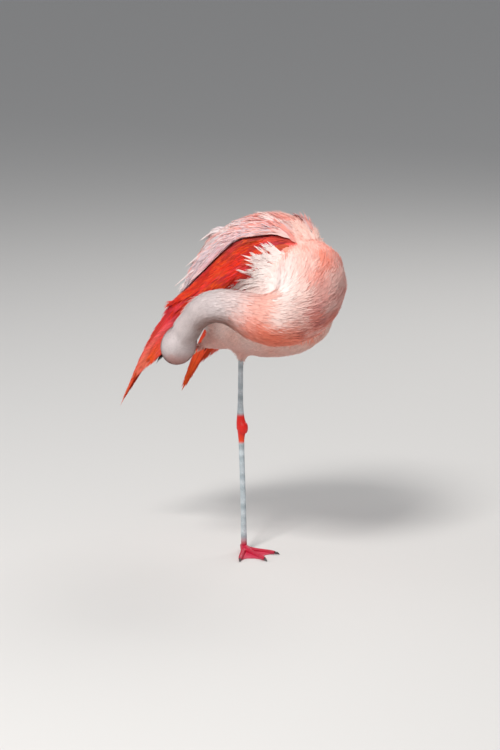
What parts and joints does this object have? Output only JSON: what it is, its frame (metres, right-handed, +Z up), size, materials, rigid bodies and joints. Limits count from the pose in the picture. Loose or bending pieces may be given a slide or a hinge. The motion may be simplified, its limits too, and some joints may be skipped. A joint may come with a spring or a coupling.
{
  "type": "chilean flamingo",
  "caption": "Life-size still model of a Chilean flamingo standing on one leg and preening under its right wing.",
  "frame": {"origin": "on the floor, under the palm of the standing foot", "axes": "+X the way the body faces, +Y the bird's left, +Z up"},
  "size_m": [0.4519, 0.3262, 0.6063],
  "materials": {
    "pale_plumage": "soft matt body feathers, pale pink shading to salmon",
    "white_plumage": "long loose back feathers, near white with pink edges",
    "neck_plumage": "short velvety feathers, pale grey-pink",
    "red_plumage": "wing coverts and long plumes, vivid orange-red",
    "black_quill": "black flight feathers",
    "leg_skin": "pale blue-grey scaled skin",
    "joint_skin": "vivid red scaled skin of the ankle",
    "foot_skin": "crimson scaled skin of the foot and its webs",
    "claw_horn": "dark worn horn",
    "bill_horn": "pale pinkish horn, black beyond the bend",
    "eye": "wet pale yellow iris round a black pupil"
  },
  "bodies": {
    "root": {"trunk": "pale_plumage", "tail": "pale_plumage", "neck_base": "neck_plumage", "neck_middle": "neck_plumage", "neck_upper": "neck_plumage", "head": "neck_plumage", "eye_right": "eye", "eye_left": "eye", "bill_upper": "bill_horn", "bill_lower": "bill_horn", "thigh_right": "pale_plumage", "tibia_right": "leg_skin", "ankle_right": "joint_skin", "shank_right": "leg_skin", "foot_right": "foot_skin", "wing_right": "red_plumage", "mantle_right": "white_plumage", "primaries_right": "black_quill", "claw_right_inner": "claw_horn", "claw_right_middle": "claw_horn", "claw_right_outer": "claw_horn", "thigh_left": "pale_plumage", "tibia_left": "leg_skin", "ankle_left": "joint_skin", "shank_left": "leg_skin", "foot_left": "foot_skin", "wing_left": "red_plumage", "mantle_left": "white_plumage", "primaries_left": "black_quill", "claw_left_inner": "claw_horn", "claw_left_middle": "claw_horn", "claw_left_outer": "claw_horn"}
  },
  "joints": []
}
